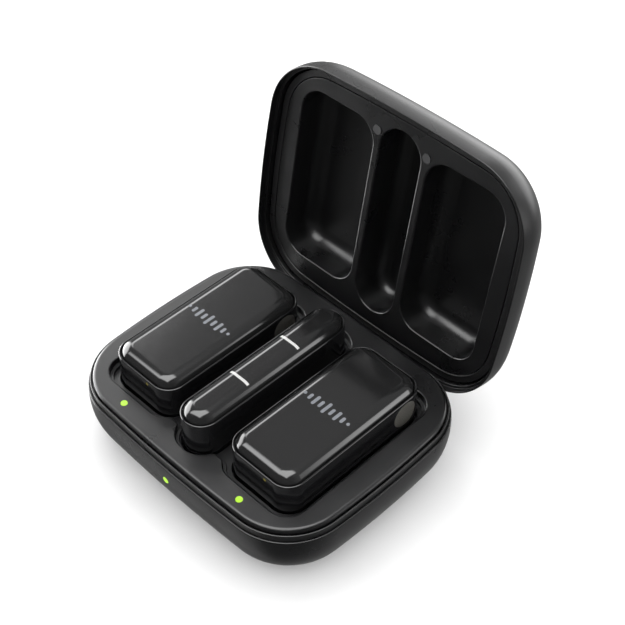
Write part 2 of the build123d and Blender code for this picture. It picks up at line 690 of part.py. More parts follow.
def case_pieces():
    pieces = {
        "case_bottom_shell": case_bottom_shell(),
        "case_lip_ring": case_lip_ring(),
        "case_deck_tray": case_deck_tray(),
        "case_battery": case_battery(),
        "case_circuit_board": case_circuit_board(),
        "case_board_screws": case_board_screws(),
        "case_charge_port": case_charge_port(),
        "case_port_tongue": case_port_tongue(),
        "receiver_dock_socket": receiver_dock_socket(),
        "receiver_dock_tongue": receiver_dock_tongue(),
        "front_led": front_led(),
        "case_magnets": case_magnets(),
        "hinge_pin": hinge_pin(),
    }
    for name, side in (("left", -1), ("right", 1)):
        pieces[f"{name}_charge_pins"] = charge_pins(side)
        pieces[f"{name}_charge_pin_block"] = charge_pin_block(side)
        pieces[f"{name}_deck_led"] = deck_led(side)
    return pieces


def lid_pieces():
    return {
        "lid_outer_shell": lid_outer_shell(),
        "lid_inner_ring": lid_inner_ring(),
        "lid_liner": lid_liner(),
        "lid_left_pocket": lid_transmitter_pocket(-TX_X),
        "lid_right_pocket": lid_transmitter_pocket(TX_X),
        "lid_receiver_pocket": lid_receiver_pocket(),
        "lid_bumpers": lid_bumpers(),
        "lid_magnets": lid_magnets(),
        "lid_hinge_knuckle": lid_hinge_knuckle(),
    }


def transmitter_pieces(name, x):
    return {
        f"{name}_body_shell": tx_body_shell(x),
        f"{name}_top_cover": tx_top_cover(x),
        f"{name}_cover_mark": tx_cover_mark(x),
        f"{name}_port_cover": tx_port_cover(x),
        f"{name}_circuit_board": tx_circuit_board(x),
        f"{name}_battery": tx_battery(x),
        f"{name}_mic_capsule": tx_mic_capsule(x),
        f"{name}_status_led": tx_status_led(x),
        f"{name}_charge_contacts": tx_charge_contacts(x),
        f"{name}_clip": tx_clip(x),
        f"{name}_clip_pin": tx_clip_pin(x),
        f"{name}_clip_spring": tx_clip_spring(x),
    }


def receiver_pieces():
    return {
        "receiver_body_shell": receiver_body_shell(),
        "receiver_top_cover": receiver_top_cover(),
        "receiver_light_bars": receiver_light_bars(),
        "receiver_circuit_board": receiver_circuit_board(),
        "receiver_plug_shell": receiver_plug_shell(),
        "receiver_plug_insert": receiver_plug_insert(),
    }


def main():
    os.makedirs("parts", exist_ok=True)
    for name, piece in case_pieces().items():
        save(name, piece)
    for name, piece in lid_pieces().items():
        save(name, swing_open(piece))
    for name, x in (("left", -TX_X), ("right", TX_X)):
        for part_name, piece in transmitter_pieces(name, x).items():
            save(part_name, piece)
    for name, piece in receiver_pieces().items():
        save(name, piece)


main()
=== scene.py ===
import json
import math

import bmesh
import bpy
from mathutils import Matrix, Vector


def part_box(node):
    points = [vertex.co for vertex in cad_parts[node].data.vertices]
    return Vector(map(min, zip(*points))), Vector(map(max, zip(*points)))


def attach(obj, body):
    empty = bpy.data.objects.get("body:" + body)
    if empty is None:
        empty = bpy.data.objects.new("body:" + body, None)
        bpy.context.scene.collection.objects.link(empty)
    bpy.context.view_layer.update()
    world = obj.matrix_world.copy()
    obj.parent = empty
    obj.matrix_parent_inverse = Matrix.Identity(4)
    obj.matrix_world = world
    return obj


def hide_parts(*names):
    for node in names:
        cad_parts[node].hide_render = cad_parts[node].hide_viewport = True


# A charging case with its lid open, two clip-on transmitters and a plug-in receiver.
# The shapes below are written in millimetres and become metres when a mesh is made.

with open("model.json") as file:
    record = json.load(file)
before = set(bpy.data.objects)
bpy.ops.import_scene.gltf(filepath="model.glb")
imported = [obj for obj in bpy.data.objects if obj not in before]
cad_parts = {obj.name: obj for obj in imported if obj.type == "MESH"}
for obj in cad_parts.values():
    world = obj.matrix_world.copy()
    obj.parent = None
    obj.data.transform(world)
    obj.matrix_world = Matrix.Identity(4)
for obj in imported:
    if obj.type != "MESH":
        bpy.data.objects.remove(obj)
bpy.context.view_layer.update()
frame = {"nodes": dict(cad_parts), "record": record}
MM = 0.001


def box_mm(node):
    """Lowest and highest corner of a CAD node, in millimetres."""
    low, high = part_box(node)
    return low / MM, high / MM


def middle(node):
    """Centre of a CAD node's box, in millimetres."""
    low, high = box_mm(node)
    return (low + high) / 2


# ---- driving dimensions --------------------------------------------------------------------
# Offsets are measured outwards from the groove line between the deck and the lip.
DECK_GAP = 0.15                      # half width of the groove
deck_low, deck_high = box_mm("case_deck_tray")
HALF_W = deck_high.x + DECK_GAP      # half width and depth of the groove line
HALF_D = -deck_low.y + DECK_GAP
BOW_W = 1.9                          # bulge of the left and right sides
BOW_D = 1.6                          # bulge of the front and back
CORNER_R = 16.0
SIDE_STEPS = 16                      # points along each half side of the case outline
CORNER_STEPS = 22
BEYOND = 60.0                        # further out than any part of the case
SIDES = (("left", -1), ("right", 1))

# case shell
SKIN = 1.3                           # offset of the widest line of both shells
WALL = 1.4
RIM_IN = 0.1                         # the shells' edges draw in this much from the widest line
RIM_R = 0.25                         # rounding of those edges
SHELL_TOP = 16.8
WIDEST = 14.4
BASE_INSET = 10.1                    # how far the bottom draws in, and the power of its curve
BASE_SHAPE = 0.92
PORT_Z = 7.76
PORT_HALF_W = 4.8
PORT_HALF_H = 1.95
FRONT_LED_HOLE_R = 0.95
BACK_WALL = (26.0, 40.0)             # stretches of Y that go right through a wall
FRONT_WALL = (-40.0, -26.0)

# lip ring, a foot under the deck's rim with an upright lip
LIP_TOP = box_mm("case_lip_ring")[1].z
LIP_OUT = 0.6
LIP_R = 0.16
LIP_SEAT = 15.3
LIP_SEAT_OUT = 0.65
LIP_FOOT_IN = -1.4
LIP_FOOT_LOW = 15.35
LIP_FOOT_TOP = 16.95
LIP_GAP_HALF = 23.0                  # the foot is cut away where the hinge is
LIP_GAP_Y = 27.0
LIP_GAP_TOP = 17.0

# deck
DECK_TOP = deck_high.z
DECK_UNDER = 17.05
DECK_EDGE_R = 1.0
LEDGE = 17.9                         # a step that runs round the bays
LEDGE_W = 0.9
MOUTH_R = 0.38                       # rounding of the edge of a bay or pocket
WELL_FLOOR = 17.0
WELL_UNDER = 13.35
WELL_HALF_W = 33.8
WELL_HALF_L = 26.6
WELL_R = 6.0
SOCKET_FLOOR = 14.55
SOCKET_GAP = 0.4                     # between a unit and the socket that it stands in
DECK_LED_HOLE_R = 0.9
RELIEF_HALF_W = 8.6                  # pocket under a transmitter that its clip hangs into
RELIEF_HALF_L = 19.9
RELIEF_R = 2.0
RELIEF_Y = -1.2
RELIEF_FLOOR = 6.2
RELIEF_WALL = 0.6
RELIEF_UNDER = RELIEF_FLOOR - 1.0
PIN_HOLE_R = 0.6
PLUG_HALF_W = 1.68                   # slot for the receiver's plug
PLUG_HALF_L = 4.57

# hinge
HINGE = middle("hinge_pin")
OPEN_ANGLE = 100.0
NOTCH_HALF = 16.7
NOTCH_R = 2.55
EAR_R = 1.9
EAR_START = 17.0
EAR_END = 22.6
EAR_FOOT_Y = 28.8
EAR_FOOT_Z = 8.0
BACK_CUT_Y = 32.0
BACK_CUT_Z = 12.4

# lid, in its closed position
LID_WALL = 1.2
LID_RIM = 16.95
LID_STEP = 18.85
LID_STEP_OUT = 0.75
LID_WIDEST = 20.1
LID_TOP = 36.35
LID_INSET = 19.9                     # how far the top draws in, and the power of its curve
LID_SHAPE = 1.08
LID_NOTCH_GAP = 0.2
RING_OUT = -0.45
RING_IN = -2.3
RING_FACE = 19.95
RING_BACK = 21.4
LINER_OUT = -2.5
LINER_FACE = 19.9
LINER_BACK = 21.3
LINER_R = 0.2
POCKET_TOP = 29.7
POCKET_HALF_W = 12.0
POCKET_HALF_L = 24.4
POCKET_R = 6.4                       # corners of every pocket, and of the dome behind it
DOME_R = 7.2
DOME_WALL = 0.8
POCKET_FLOOR_R = 4.0
RX_POCKET_TOP = 30.3
RX_POCKET_HALF_W = 6.4
RX_POCKET_HALF_L = 26.6
RX_POCKET_FLOOR_R = 3.5
BUMPER_X = 7.9
BUMPER_Y = -24.0
BUMPER_R = 1.3
BUMPER_SEAT = 0.5

# units
tx_high = box_mm("right_body_shell")[1]
TX_X, TX_Y = middle("right_body_shell").xy
TX_HW = tx_high.x - TX_X
TX_HL = tx_high.y - TX_Y
TX_R = 5.1
TX_CROWN_R = 3.0
TX_BOTTOM = 14.6
TX_BOTTOM_R = 1.2
TX_RIM = tx_high.z
TX_TOP = box_mm("right_top_cover")[1].z
TX_SEAT = 24.9                       # the cover stands on this step
rx_low, rx_high = box_mm("receiver_body_shell")
UNIT_Y = middle("receiver_body_shell").y  # middle of the receiver, the bays and the lid's pockets
RX_HW = (rx_high.x - rx_low.x) / 2
RX_HL = (rx_high.y - rx_low.y) / 2
RX_BOTTOM_R = 1.0
RX_RIM = rx_high.z
RX_TOP = box_mm("receiver_top_cover")[1].z
RX_CROWN_R = 3.0
RX_SEAT = 26.0
RIM_LIP = 0.4                        # width of a body's rim, and the gap to the cover inside it
COVER_GAP = 0.3
COVER_WALL = 1.2
FLOOR_WALL = 1.0
UNIT_STEPS = 14                      # points in a unit's corner
LIGHT_BAR_Y = 8.35                   # from the receiver's middle
LIGHT_BAR_HALF_W = 3.05
LIGHT_BAR_HALF_L = 0.4
LIGHT_BAR_LOW = 28.6

# details of a transmitter's body
PORT_COVER = middle("right_port_cover")
port_low, port_high = box_mm("right_port_cover")
PORT_COVER_R = (port_high.y - port_low.y) / 2
PORT_SEAT = 0.38                     # depth of the recess that takes the port cover
STATUS_LED = middle("right_status_led")
STATUS_HOLE_R = 0.45
CONTACT_X = 2.0                      # from a transmitter's middle
CONTACT_Y = TX_Y + 20.3
CONTACT_R = 0.75
CONTACT_DEPTH = 0.35
CLIP_EAR_X = 4.6
CLIP_EAR_HALF = 0.7
CLIP_EAR_R = 1.2
CLIP_EAR_REACH = 1.5
CLIP_PIN_Y = TX_Y + 8.0
CLIP_PIN_Z = 12.6


# ---- outlines ------------------------------------------------------------------------------
def arc(centre, radius, start, stop, steps):
    """Points along an arc from start to stop, in radians, both ends included."""
    points = []
    for i in range(steps + 1):
        angle = start + (stop - start) * i / steps
        points.append((centre[0] + radius * math.cos(angle), centre[1] + radius * math.sin(angle)))
    return points


def four_quarters(quarter):
    """A closed ring from the quarter that runs from the X axis to the Y axis."""
    half = quarter + [(-x, y) for x, y in quarter[-2::-1]]
    return half + [(x, -y) for x, y in half[-2:0:-1]]


def soft_ring(offset, corner):
    """The case outline grown by offset: bowed sides joined by round corners."""
    half_w = HALF_W + offset
    half_d = HALF_D + offset
    side_r = (HALF_D**2 + BOW_W**2) / (2 * BOW_W) + offset
    end_r = (HALF_W**2 + BOW_D**2) / (2 * BOW_D) + offset
    side_x = half_w - side_r
    end_y = half_d - end_r
    reach_a = side_r - corner
    reach_b = end_r - corner
    apart = math.hypot(side_x, end_y)
    along = (reach_a**2 - reach_b**2 + apart**2) / (2 * apart)
    across = math.sqrt(reach_a**2 - along**2)
    ux = -side_x / apart
    uy = end_y / apart
    centre = (side_x + along * ux - across * uy, along * uy + across * ux)
    start = math.atan2(centre[1], centre[0] - side_x)
    stop = math.atan2(centre[1] - end_y, centre[0])
    quarter = arc((side_x, 0), side_r, 0, start, SIDE_STEPS)
    quarter += arc(centre, corner, start, stop, CORNER_STEPS)[1:]
    quarter += arc((0, end_y), end_r, stop, math.pi / 2, SIDE_STEPS)[1:]
    return four_quarters(quarter)


def case_ring(offset):
    return soft_ring(offset, CORNER_R + offset)


def pillow_ring(offset, inset=0.0):
    """An outline of a shell whose corners shrink with it; inset is for its inner face."""
    corner = (CORNER_R + SKIN) * (HALF_D + offset) / (HALF_D + SKIN)
    return soft_ring(offset - inset, corner - inset)


def box_ring(half_w, half_l, radius, steps=10):
    """A rounded rectangle, or a ring with round ends where radius is half_w."""
    quarter = [(half_w, 0)]
    quarter += arc((half_w - radius, half_l - radius), radius, 0, math.pi / 2, steps)
    if half_w - radius > 0.001:
        quarter.append((0, half_l))
    return four_quarters(quarter)


def circle(radius, steps=8):
    return four_quarters(arc((0, 0), radius, 0, math.pi / 2, steps))


def shifted(ring, x, y):
    return [(px + x, py + y) for px, py in ring]


def level(ring, z):
    """A flat ring lifted to a height."""
    return [(x, y, z) for x, y in ring]


def rounded(corners, steps=5):
    """A profile of (offset, height, radius) corners, each rounded by its radius."""
    points = [corners[0][:2]]
    for before, here, after in zip(corners, corners[1:], corners[2:]):
        middle = Vector(here[:2])
        if here[2] == 0:
            points.append(tuple(middle))
            continue
        back = (Vector(before[:2]) - middle).normalized()
        ahead = (Vector(after[:2]) - middle).normalized()
        half = back.angle(ahead) / 2
        centre = middle + (back + ahead).normalized() * here[2] / math.sin(half)
        start = middle + back * here[2] / math.tan(half) - centre
        stop = middle + ahead * here[2] / math.tan(half) - centre
        first = math.atan2(start.y, start.x)
        turn = (math.atan2(stop.y, stop.x) - first + math.pi) % (2 * math.pi) - math.pi
        points += arc(centre, here[2], first, first + turn, steps)
    points.append(corners[-1][:2])
    return points


def swept(ring_of, corners, steps=5):
    """Rings that follow a rounded profile; ring_of gives the outline for an offset."""
    return [level(ring_of(offset), z) for offset, z in rounded(corners, steps)]


# ---- meshes --------------------------------------------------------------------------------
class Skin:
    """A mesh put together from rings of points."""

    def __init__(self):
        self.bm = bmesh.new()

    def ring(self, points):
        return [self.bm.verts.new(Vector(p) * MM) for p in points]

    def band(self, low, high):
        """Quads between two rings of vertices with the same number of points."""
        for i in range(len(low)):
            j = (i + 1) % len(low)
            self.bm.faces.new((low[i], low[j], high[j], high[i]))

    def wall(self, rings):
        """Joins rings one after the other and returns the first and the last."""
        made = [self.ring(points) for points in rings]
        for low, high in zip(made, made[1:]):
            self.band(low, high)
        return made[0], made[-1]

    def closed_wall(self, rings):
        first, last = self.wall(rings)
        self.band(last, first)

    def fill(self, *loops):
        """A flat face bounded by the first loop, with the other loops as holes."""
        edges = []
        for loop in loops:
            for a, b in zip(loop, loop[1:] + loop[:1]):
                edges.append(self.bm.edges.get((a, b)) or self.bm.edges.new((a, b)))
        bmesh.ops.triangle_fill(self.bm, use_beauty=True, edges=edges, normal=(0, 0, 1))

    def block(self, low, high):
        """A box between two corners."""
        made = bmesh.ops.create_cube(self.bm, size=1.0)["verts"]
        size = Vector(high) - Vector(low)
        place = Matrix.Translation((Vector(low) + Vector(high)) / 2 * MM)
        bmesh.ops.transform(self.bm, matrix=place @ Matrix.Diagonal((*size * MM, 1)), verts=made)

    def rod_x(self, x0, x1, y, z, radius, segments=48):
        """A round bar along X."""
        made = bmesh.ops.create_cone(
            self.bm, cap_ends=True, segments=segments, depth=(x1 - x0) * MM,
            radius1=radius * MM, radius2=radius * MM,
        )["verts"]
        place = Matrix.Translation(Vector(((x0 + x1) / 2, y, z)) * MM)
        bmesh.ops.transform(self.bm, matrix=place @ Matrix.Rotation(math.pi / 2, 4, "Y"), verts=made)

    def prism(self, rings):
        """A wall with a flat face over each end."""
        for end in self.wall(rings):
            self.bm.faces.new(end)

    def rod_y(self, x, z, y0, y1, half_w, half_h):
        """A bar along Y with round ends to its section; half_w = half_h makes it round."""
        ring = box_ring(half_w, half_h, half_h, 12)
        self.prism([[(x + a, y, z + b) for a, b in ring] for y in (y0, y1)])

    def to_object(self, name):
        bmesh.ops.recalc_face_normals(self.bm, faces=self.bm.faces)
        mesh = bpy.data.meshes.new(name)
        self.bm.to_mesh(mesh)
        self.bm.free()
        obj = bpy.data.objects.new(name, mesh)
        bpy.context.scene.collection.objects.link(obj)
        return obj


def carve(obj, cutter):
    """Takes the cutter's shape out of obj and throws the cutter away."""
    tool = cutter.to_object("cutter")
    modifier = obj.modifiers.new("carve", "BOOLEAN")
    modifier.operation = "DIFFERENCE"
    modifier.solver = "EXACT"
    modifier.object = tool
    graph = bpy.context.evaluated_depsgraph_get()
    mesh = bpy.data.meshes.new_from_object(obj.evaluated_get(graph))
    obj.modifiers.clear()
    obj.data = mesh
    bpy.data.objects.remove(tool)


def weld_on(obj, extra):
    """Adds closed shapes to a piece; they overlap it where they meet."""
    tool = extra.to_object("extra")
    both = bmesh.new()
    both.from_mesh(obj.data)
    both.from_mesh(tool.data)
    both.to_mesh(obj.data)
    both.free()
    bpy.data.objects.remove(tool)


def swing_open(obj):
    """Turns a closed lid piece about the hinge to the open position."""
    pivot = Matrix.Translation(HINGE * MM)
    turn = Matrix.Rotation(math.radians(-OPEN_ANGLE), 4, "X")
    obj.data.transform(pivot @ turn @ pivot.inverted())


def dress(obj, material, body, nodes, crease=38):
    """Shading, material, body and the CAD nodes that the piece stands for."""
    obj.data.materials.clear()
    obj.data.materials.append(material)
    obj.data.shade_smooth()
    obj.data.set_sharp_from_angle(angle=math.radians(crease))
    weighted = obj.modifiers.new("even_normals", "WEIGHTED_NORMAL")
    weighted.keep_sharp = True
    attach(obj, body)
    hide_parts(*nodes)


# ---- materials -----------------------------------------------------------------------------
class Nodes:
    """A small helper for building one material's node tree."""

    def __init__(self, name):
        self.material = bpy.data.materials.new(name)
        self.material.use_nodes = True
        self.tree = self.material.node_tree
        self.shader = self.tree.nodes["Principled BSDF"]
        self.place = self.add("ShaderNodeTexCoord").outputs["Object"]

    def add(self, kind, **values):
        node = self.tree.nodes.new(kind)
        for key, value in values.items():
            if key in node.inputs:
                node.inputs[key].default_value = value
            else:
                setattr(node, key, value)
        return node

    def link(self, source, target):
        self.tree.links.new(source, target)

    def noise(self, scale, detail=3.0, roughness=0.5, stretch=None):
        """Noise over the object, with scale in cycles per metre."""
        node = self.add("ShaderNodeTexNoise", Scale=scale, Detail=detail, Roughness=roughness)
        place = self.place
        if stretch:
            mapping = self.add("ShaderNodeMapping")
            mapping.inputs["Scale"].default_value = stretch
            self.link(place, mapping.inputs["Vector"])
            place = mapping.outputs["Vector"]
        self.link(place, node.inputs["Vector"])
        return node.outputs["Fac"]

    def spread(self, value, low, high, start=0.3, stop=0.7):
        """Maps a noise value onto a range."""
        node = self.add("ShaderNodeMapRange", **{"From Min": start, "From Max": stop})
        node.inputs["To Min"].default_value = low
        node.inputs["To Max"].default_value = high
        self.link(value, node.inputs["Value"])
        return node.outputs["Result"]

    def blend(self, factor, first, second):
        node = self.add("ShaderNodeMix", data_type="RGBA")
        self.link(factor, node.inputs["Factor"])
        node.inputs["A"].default_value = (*first, 1)
        node.inputs["B"].default_value = (*second, 1)
        return node.outputs["Result"]

    def bumps(self, *layers):
        """Bump layers of (height, strength, distance in metres), finest last."""
        normal = None
        for height, strength, distance in layers:
            node = self.add("ShaderNodeBump", Strength=strength, Distance=distance)
            self.link(height, node.inputs["Height"])
            if normal:
                self.link(normal, node.inputs["Normal"])
            normal = node.outputs["Normal"]
        self.link(normal, self.shader.inputs["Normal"])


def tint(colour, factor):
    return tuple(min(1.0, channel * factor) for channel in colour)


def moulded(name, colour, rough, grain_size, grain_depth, specular=0.5):
    """Moulded plastic: a fine spark-eroded grain, with slow changes in tone and gloss."""
    wander = 0.05
    n = Nodes(name)
    slow = n.noise(55, 4, 0.6)
    grain = n.noise(1 / grain_size, 2, 0.6)
    tone = n.blend(n.spread(slow, 0, 1), tint(colour, 0.88), tint(colour, 1.14))
    n.link(tone, n.shader.inputs["Base Color"])
    n.link(n.spread(slow, rough - wander, rough + wander), n.shader.inputs["Roughness"])
    n.shader.inputs["Specular IOR Level"].default_value = specular
    n.bumps((slow, 0.06, 0.0004), (grain, 0.5, grain_depth))
    return n.material


def polished(name, colour, rough):
    """Polished plastic: faint ripple from the mould and very fine rubbing marks."""
    n = Nodes(name)
    ripple = n.noise(90, 2, 0.4)
    dust = n.noise(2600, 3, 0.7)
    marks = n.noise(700, 4, 0.75, stretch=(1.0, 9.0, 9.0))
    tone = n.blend(n.spread(dust, 0, 1, 0.55, 0.8), colour, tint(colour, 1.5))
    n.link(tone, n.shader.inputs["Base Color"])
    n.link(n.spread(marks, rough * 0.7, rough * 1.5), n.shader.inputs["Roughness"])
    n.bumps((ripple, 0.10, 0.0003), (marks, 0.03, 0.00002))
    return n.material


def metal(name, colour, rough, stretch):
    """Plated or rolled metal with fine drawn lines and faint staining."""
    n = Nodes(name)
    lines = n.noise(4200, 2, 0.6, stretch=stretch)
    stain = n.noise(260, 4, 0.6)
    tone = n.blend(n.spread(stain, 0, 1), tint(colour, 0.78), tint(colour, 1.08))
    n.link(tone, n.shader.inputs["Base Color"])
    n.link(n.spread(lines, rough * 0.7, rough * 1.4), n.shader.inputs["Roughness"])
    n.shader.inputs["Metallic"].default_value = 1.0
    n.bumps((stain, 0.08, 0.0001), (lines, 0.2, 0.00002))
    return n.material


def lamp(name, core, edge, strength, scale):
    """A lit lens: brighter where the light behind it is, with a moulded diffuser."""
    n = Nodes(name)
    cells = n.add("ShaderNodeTexVoronoi", Scale=scale)
    n.link(n.place, cells.inputs["Vector"])
    colour = n.blend(n.spread(cells.outputs["Distance"], 0, 1, 0.1, 0.6), core, edge)
    n.link(colour, n.shader.inputs["Emission Color"])
    n.shader.inputs["Base Color"].default_value = (*tint(core, 0.08), 1)
    n.shader.inputs["Emission Strength"].default_value = strength
    n.link(n.spread(n.noise(900), 0.18, 0.32), n.shader.inputs["Roughness"])
    n.bumps((cells.outputs["Distance"], 0.15, 0.0001))
    return n.material


def port_mesh():
    """The sound port's cover: a fine woven mesh, a shade lighter than the body."""
    n = Nodes("port_mesh")
    threads = n.add("ShaderNodeTexWave", Scale=1150.0, Distortion=0.0)
    threads.bands_direction = "Y"
    cross = n.add("ShaderNodeTexWave", Scale=1150.0, Distortion=0.0)
    cross.bands_direction = "Z"
    n.link(n.place, threads.inputs["Vector"])
    n.link(n.place, cross.inputs["Vector"])
    weave = n.add("ShaderNodeMath", operation="MAXIMUM")
    n.link(threads.outputs["Fac"], weave.inputs[0])
    n.link(cross.outputs["Fac"], weave.inputs[1])
    thickness = n.spread(weave.outputs[0], 0, 1, 0.2, 1.0)
    colour = n.blend(thickness, (0.030, 0.029, 0.026), (0.085, 0.082, 0.072))
    n.link(colour, n.shader.inputs["Base Color"])
    n.link(n.spread(n.noise(300), 0.38, 0.5), n.shader.inputs["Roughness"])
    n.bumps((weave.outputs[0], 0.5, 0.00004))
    return n.material


def printed(name, colour):
    """Thin screen-printed ink with a slightly uneven edge and film."""
    n = Nodes(name)
    film = n.noise(1500, 4, 0.6)
    tone = n.blend(n.spread(film, 0, 1), tint(colour, 0.86), tint(colour, 1.06))
    n.link(tone, n.shader.inputs["Base Color"])
    n.link(n.spread(film, 0.35, 0.5), n.shader.inputs["Roughness"])
    n.bumps((film, 0.15, 0.00002))
    return n.material


def board(name):
    """Green solder mask over copper tracks that show as slightly raised lines."""
    n = Nodes(name)
    tracks = n.add("ShaderNodeTexBrick", Scale=420.0)
    tracks.inputs["Mortar Size"].default_value = 0.12
    n.link(n.place, tracks.inputs["Vector"])
    colour = n.blend(tracks.outputs["Fac"], (0.010, 0.085, 0.040), (0.022, 0.16, 0.075))
    n.link(colour, n.shader.inputs["Base Color"])
    n.link(n.spread(n.noise(500), 0.28, 0.42), n.shader.inputs["Roughness"])
    n.bumps((tracks.outputs["Fac"], 0.4, 0.00004))
    return n.material


MATERIALS = {
    "case_shell": moulded("case_shell", (0.0045, 0.0045, 0.0048), 0.29, 0.00030, 0.00003, specular=0.4),
    "case_lip": moulded("case_lip", (0.006, 0.006, 0.0063), 0.30, 0.00030, 0.00002),
    "deck": moulded("deck", (0.0045, 0.0045, 0.0048), 0.30, 0.00028, 0.00003, specular=0.4),
    "gloss_body": polished("gloss_body", (0.006, 0.006, 0.0065), 0.10),
    "smoked_cover": polished("smoked_cover", (0.011, 0.011, 0.0112), 0.10),
    "grey_print": printed("grey_print", (0.155, 0.163, 0.18)),
    "port_mesh": port_mesh(),
    "lime_light": lamp("lime_light", (0.43, 0.84, 0.03), (0.50, 0.90, 0.05), 1.0, 2200),
    "white_light": lamp("white_light", (0.95, 0.95, 0.93), (0.80, 0.80, 0.78), 0.8, 2600),
    "amber_light": lamp("amber_light", (0.30, 0.24, 0.02), (0.14, 0.12, 0.02), 0.8, 2600),
    "bumper": moulded("bumper", (0.012, 0.012, 0.013), 0.50, 0.0002, 0.00002),
    "clip_plastic": polished("clip_plastic", (0.010, 0.010, 0.011), 0.14),
    "black_insert": moulded("black_insert", (0.012, 0.012, 0.012), 0.5, 0.0002, 0.00002),
    "circuit_board": board("circuit_board"),
    "battery_foil": metal("battery_foil", (0.55, 0.55, 0.57), 0.35, (1.0, 1.0, 1.0)),
    "gold_contact": metal("gold_contact", (0.95, 0.68, 0.28), 0.22, (1.0, 1.0, 0.2)),
    "magnet": metal("magnet", (0.62, 0.62, 0.64), 0.18, (1.0, 1.0, 1.0)),
    "steel": metal("steel", (0.58, 0.58, 0.59), 0.28, (0.1, 1.0, 1.0)),
}

# Every CAD node gets the look of its material slot; those that a piece replaces don't show.
slot_of = {row["node"]: row["material_slot"] for row in frame["record"]["subparts"]}
for node_name, node_object in frame["nodes"].items():
    node_object.data.materials.clear()
    node_object.data.materials.append(MATERIALS[slot_of[node_name]])


# ---- lower case ----------------------------------------------------------------------------
def pillow_rings(levels, inset=0.0):
    """Rings of a shell from its (offset, height) levels."""
    return [level(pillow_ring(offset, inset), z) for offset, z in levels]


def curve_levels(widest, reach, draw_in, shape, sign):
    """Offsets and heights of a superellipse from its widest line to its flat end."""
    steps = 18
    levels = []
    for i in range(steps + 1):
        t = math.pi / 2 * i / steps
        inward = 1 - math.cos(t) ** shape if i < steps else 1
        levels.append((SKIN - draw_in * inward, widest + sign * reach * math.sin(t) ** shape))
    return levels


def carve_swing_room(obj):
    """Cuts out of the base what the open lid's back edge and barrel need."""
    back = Skin()
    back.block((-BEYOND, BACK_CUT_Y, BACK_CUT_Z), (BEYOND, BEYOND, BEYOND))
    carve(obj, back)
    barrel = Skin()
    barrel.rod_x(-NOTCH_HALF, NOTCH_HALF, HINGE.y, HINGE.z, NOTCH_R)
    carve(obj, barrel)


def hinge_ears():
    """The two lugs on the back wall that hold the ends of the hinge pin."""
    ears = Skin()
    for _, side in SIDES:
        low, high = sorted((side * EAR_START, side * EAR_END))
        ears.rod_x(low, high, HINGE.y, HINGE.z, EAR_R)
        ears.block((low, EAR_FOOT_Y, EAR_FOOT_Z), (high, HINGE.y, HINGE.z))
    return ears


def case_shell():
    edge = SKIN - RIM_IN
    skin = Skin()
    outer = pillow_rings(reversed(curve_levels(WIDEST, WIDEST, BASE_INSET, BASE_SHAPE, -1)))
    inner = pillow_rings(curve_levels(WIDEST, WIDEST - WALL, BASE_INSET, BASE_SHAPE, -1), WALL)
    rim = swept(case_ring, [
        (SKIN - 0.02, (WIDEST + SHELL_TOP) / 2, 0), (edge, SHELL_TOP, RIM_R),
        (LIP_SEAT_OUT, SHELL_TOP, 0.12), (LIP_SEAT_OUT, LIP_SEAT, 0),
        (edge - WALL, LIP_SEAT, 0), (edge - WALL, WIDEST + 0.3, 0),
    ])
    first, last = skin.wall(outer + rim + inner)
    skin.fill(first)
    skin.fill(last)
    shell = skin.to_object("case_shell_moulding")
    carve_swing_room(shell)
    openings = Skin()
    openings.rod_y(0, PORT_Z, *BACK_WALL, PORT_HALF_W, PORT_HALF_H)
    openings.rod_y(0, middle("front_led").z, *FRONT_WALL, FRONT_LED_HOLE_R, FRONT_LED_HOLE_R)
    carve(shell, openings)
    weld_on(shell, hinge_ears())
    return shell


def case_lip():
    """Its section starts and ends at a seam in the middle of the lip's top."""
    seam = (LIP_OUT + DECK_GAP) / 2
    skin = Skin()
    skin.closed_wall(swept(case_ring, [
        (seam, LIP_TOP, 0), (LIP_OUT, LIP_TOP, LIP_R), (LIP_OUT, LIP_FOOT_LOW, 0),
        (LIP_FOOT_IN, LIP_FOOT_LOW, 0), (LIP_FOOT_IN, LIP_FOOT_TOP, 0), (DECK_GAP, LIP_FOOT_TOP, 0),
        (DECK_GAP, LIP_TOP, LIP_R), (seam - 0.001, LIP_TOP, 0),
    ]))
    lip = skin.to_object("case_lip_moulding")
    carve_swing_room(lip)
    hinge_gap = Skin()
    hinge_gap.block((-LIP_GAP_HALF, LIP_GAP_Y, 0), (LIP_GAP_HALF, BEYOND, LIP_GAP_TOP))
    carve(lip, hinge_gap)
    return lip


